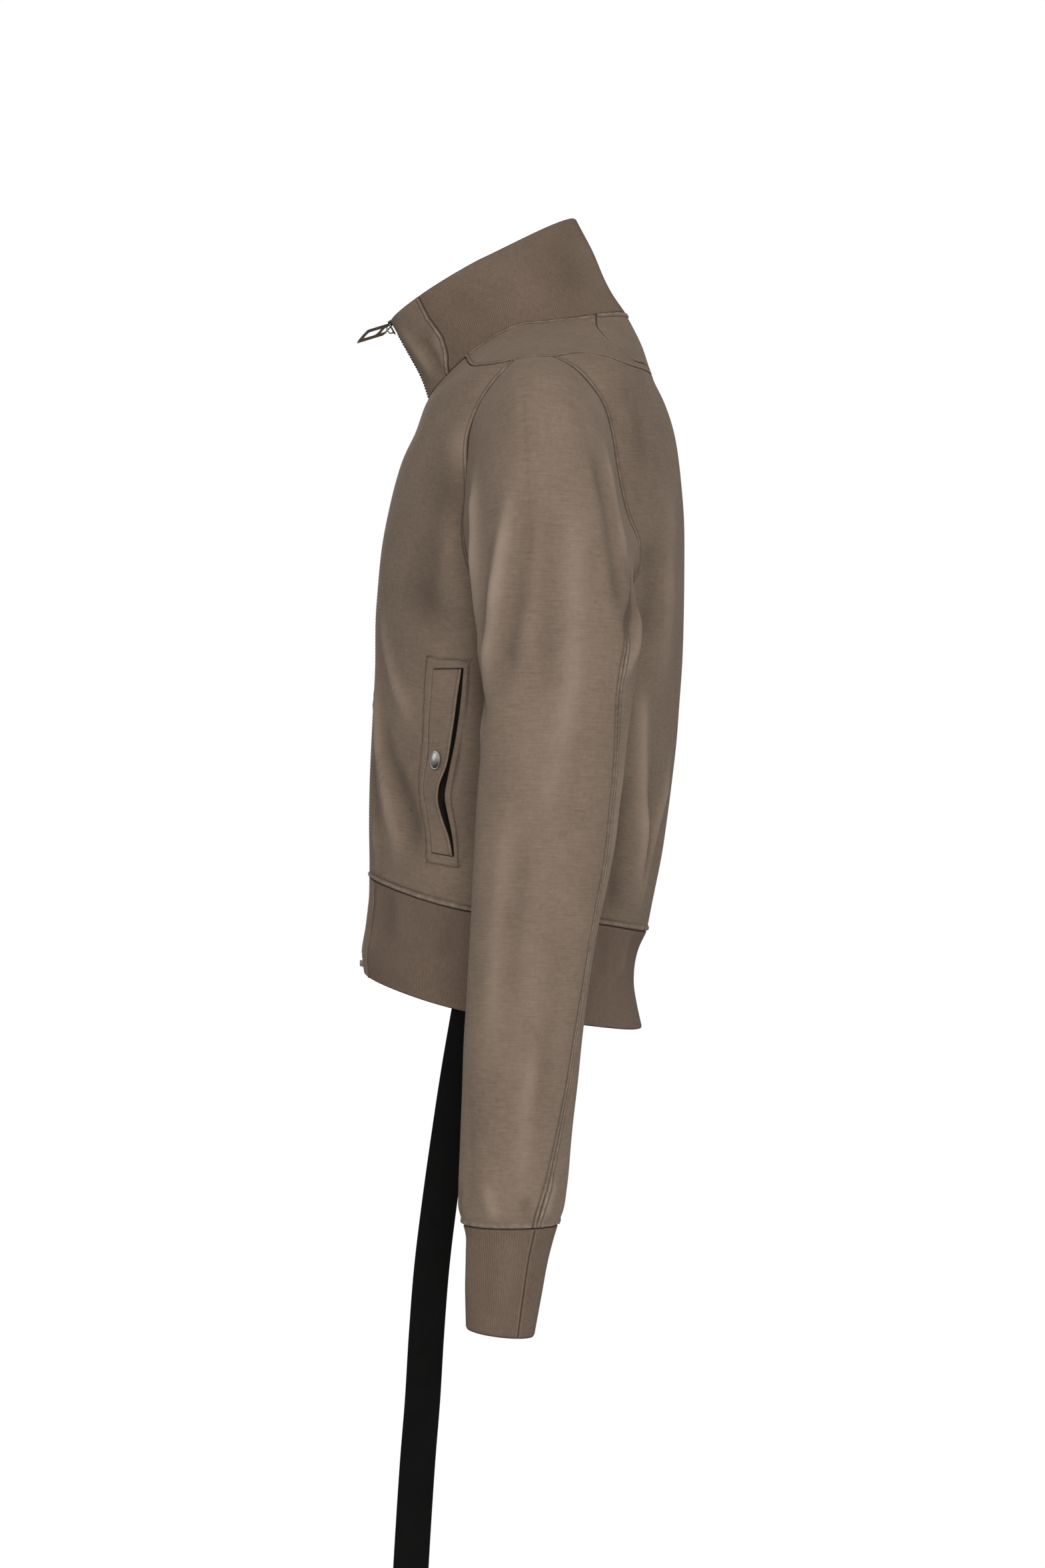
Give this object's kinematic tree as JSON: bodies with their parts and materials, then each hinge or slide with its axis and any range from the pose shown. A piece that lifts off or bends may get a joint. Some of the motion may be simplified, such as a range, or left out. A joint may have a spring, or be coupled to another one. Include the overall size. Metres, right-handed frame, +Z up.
{
  "type": "track jacket",
  "caption": "Cropped track jacket with zipped stand collar, set-in sleeves, ribbed collar, cuffs and hem, welt pockets with snaps and a hanging black tape, filled out as if worn.",
  "frame": {"origin": "on the centre plane at the height of the shoulders, level with the side neck points", "axes": "+Z up, the front of the jacket faces -Y, the wearer's left is +X"},
  "size_m": [0.612, 0.2689, 1.1392],
  "materials": {
    "cloth": "matt brushed cotton jersey",
    "rib": "matt fine rib knit",
    "pocketing": "matt thin cloth",
    "zip_tape": "woven tape",
    "metal": "polished",
    "strap": "matt woven tape"
  },
  "bodies": {
    "jacket": {"back": "cloth", "neck_insert": "cloth", "collar": "rib", "collar_facing_left": "cloth", "collar_facing_right": "cloth", "hem_band": "rib", "hem_facing_left": "cloth", "hem_facing_right": "cloth", "front_left": "cloth", "front_right": "cloth", "yoke_left": "cloth", "yoke_right": "cloth", "sleeve_left": "cloth", "sleeve_right": "cloth", "cuff_left": "rib", "cuff_right": "rib", "welt_left": "cloth", "welt_right": "cloth", "pocket_bag_left": "pocketing", "pocket_bag_right": "pocketing", "snap_left": "metal", "snap_right": "metal", "zip_tape_left": "zip_tape", "zip_tape_right": "zip_tape", "zip_slider": "metal", "zip_box": "metal", "strap": "strap"},
    "zip_pull_tab": {"zip_pull": "metal"}
  },
  "joints": [
    {"name": "pull_hinge", "type": "hinge", "parent": "jacket", "child": "zip_pull_tab", "pos_m": [0, -0.1107, 0.00398], "axis": [1, 0, 0], "range_deg": [-60, 85]}
  ]
}
